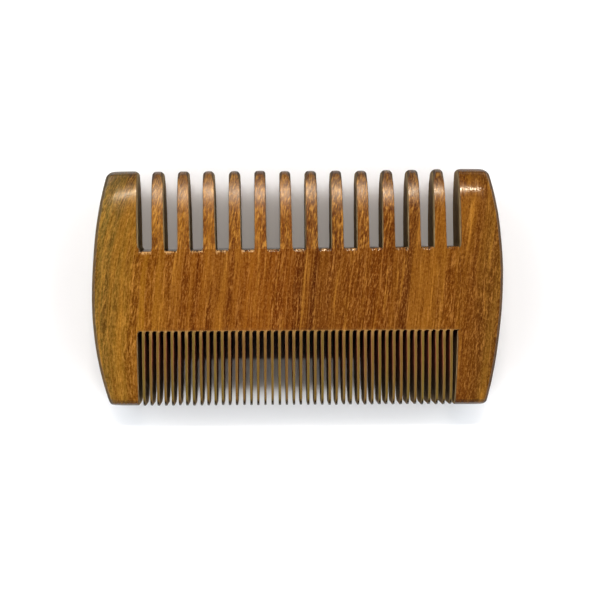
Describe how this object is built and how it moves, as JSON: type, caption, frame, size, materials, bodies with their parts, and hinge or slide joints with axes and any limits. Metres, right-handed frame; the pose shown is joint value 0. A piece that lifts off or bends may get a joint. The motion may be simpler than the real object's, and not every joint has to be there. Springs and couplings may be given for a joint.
{
  "type": "two-sided beard comb",
  "caption": "Wooden pocket comb: a flat spine between bowed end guards, with wide-set teeth along one edge and close-set fine teeth along the other.",
  "frame": {"origin": "on the back face, at the middle of the comb's length and width", "axes": "+X along the length; +Y towards the wide teeth, and -Y towards the fine teeth; +Z out of the front face"},
  "size_m": [0.0984, 0.0568, 0.011],
  "materials": {
    "comb_wood": "fine-sanded, oiled and lightly polished, with raw saw-cut walls between the teeth"
  },
  "bodies": {
    "root": {"spine": "comb_wood", "left_end_guard": "comb_wood", "right_end_guard": "comb_wood", "wide_tooth_01": "comb_wood", "wide_tooth_02": "comb_wood", "wide_tooth_03": "comb_wood", "wide_tooth_04": "comb_wood", "wide_tooth_05": "comb_wood", "wide_tooth_06": "comb_wood", "wide_tooth_07": "comb_wood", "wide_tooth_08": "comb_wood", "wide_tooth_09": "comb_wood", "wide_tooth_10": "comb_wood", "wide_tooth_11": "comb_wood", "wide_tooth_12": "comb_wood", "fine_tooth_01": "comb_wood", "fine_tooth_02": "comb_wood", "fine_tooth_03": "comb_wood", "fine_tooth_04": "comb_wood", "fine_tooth_05": "comb_wood", "fine_tooth_06": "comb_wood", "fine_tooth_07": "comb_wood", "fine_tooth_08": "comb_wood", "fine_tooth_09": "comb_wood", "fine_tooth_10": "comb_wood", "fine_tooth_11": "comb_wood", "fine_tooth_12": "comb_wood", "fine_tooth_13": "comb_wood", "fine_tooth_14": "comb_wood", "fine_tooth_15": "comb_wood", "fine_tooth_16": "comb_wood", "fine_tooth_17": "comb_wood", "fine_tooth_18": "comb_wood", "fine_tooth_19": "comb_wood", "fine_tooth_20": "comb_wood", "fine_tooth_21": "comb_wood", "fine_tooth_22": "comb_wood", "fine_tooth_23": "comb_wood", "fine_tooth_24": "comb_wood", "fine_tooth_25": "comb_wood", "fine_tooth_26": "comb_wood", "fine_tooth_27": "comb_wood", "fine_tooth_28": "comb_wood", "fine_tooth_29": "comb_wood", "fine_tooth_30": "comb_wood", "fine_tooth_31": "comb_wood", "fine_tooth_32": "comb_wood", "fine_tooth_33": "comb_wood", "fine_tooth_34": "comb_wood", "fine_tooth_35": "comb_wood", "fine_tooth_36": "comb_wood", "fine_tooth_37": "comb_wood", "fine_tooth_38": "comb_wood", "fine_tooth_39": "comb_wood", "fine_tooth_40": "comb_wood", "fine_tooth_41": "comb_wood", "fine_tooth_42": "comb_wood", "fine_tooth_43": "comb_wood", "fine_tooth_44": "comb_wood"}
  },
  "joints": []
}
